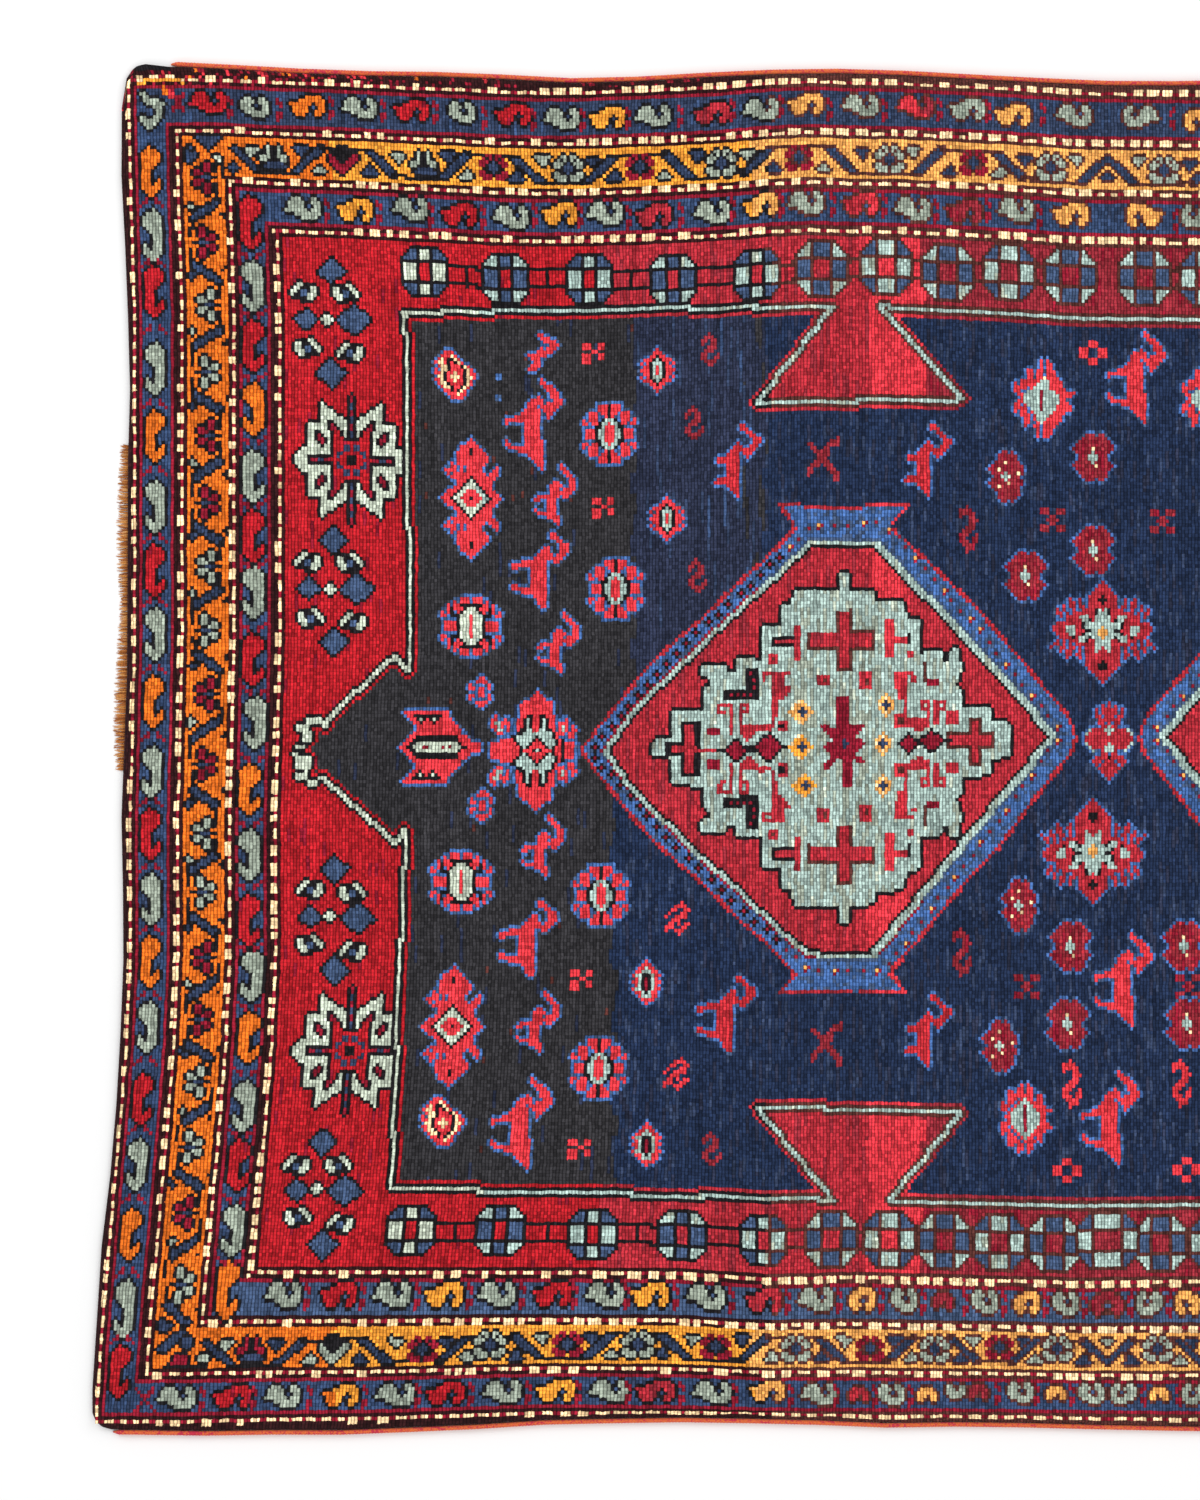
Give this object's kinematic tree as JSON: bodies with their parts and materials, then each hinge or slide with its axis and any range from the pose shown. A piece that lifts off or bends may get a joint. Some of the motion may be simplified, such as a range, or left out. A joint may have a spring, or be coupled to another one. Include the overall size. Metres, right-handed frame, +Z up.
{
  "type": "kazak rug",
  "caption": "Flat hand-knotted kazak rug: wool pile with striped borders around stepped medallions, wrapped long edges and a short frayed fringe on one end.",
  "frame": {"origin": "middle of the bounding box at the level of the underside, where the rug lies on the floor", "axes": "+X along the rug's length towards the plain end, +Y across its width, +Z up out of the pile"},
  "size_m": [2.002, 1.3762, 0.009],
  "materials": {
    "pile_wool": "clipped knotted wool pile, matt with a soft nap",
    "selvedge_wool": "wool yarn overcast, matt",
    "warp_wool": "undyed twisted wool warp ends, frayed, matt"
  },
  "bodies": {
    "root": {"knotted_weaving": "pile_wool", "selvedge_upper": "selvedge_wool", "selvedge_lower": "selvedge_wool", "warp_end_fringe": "warp_wool"}
  },
  "joints": []
}
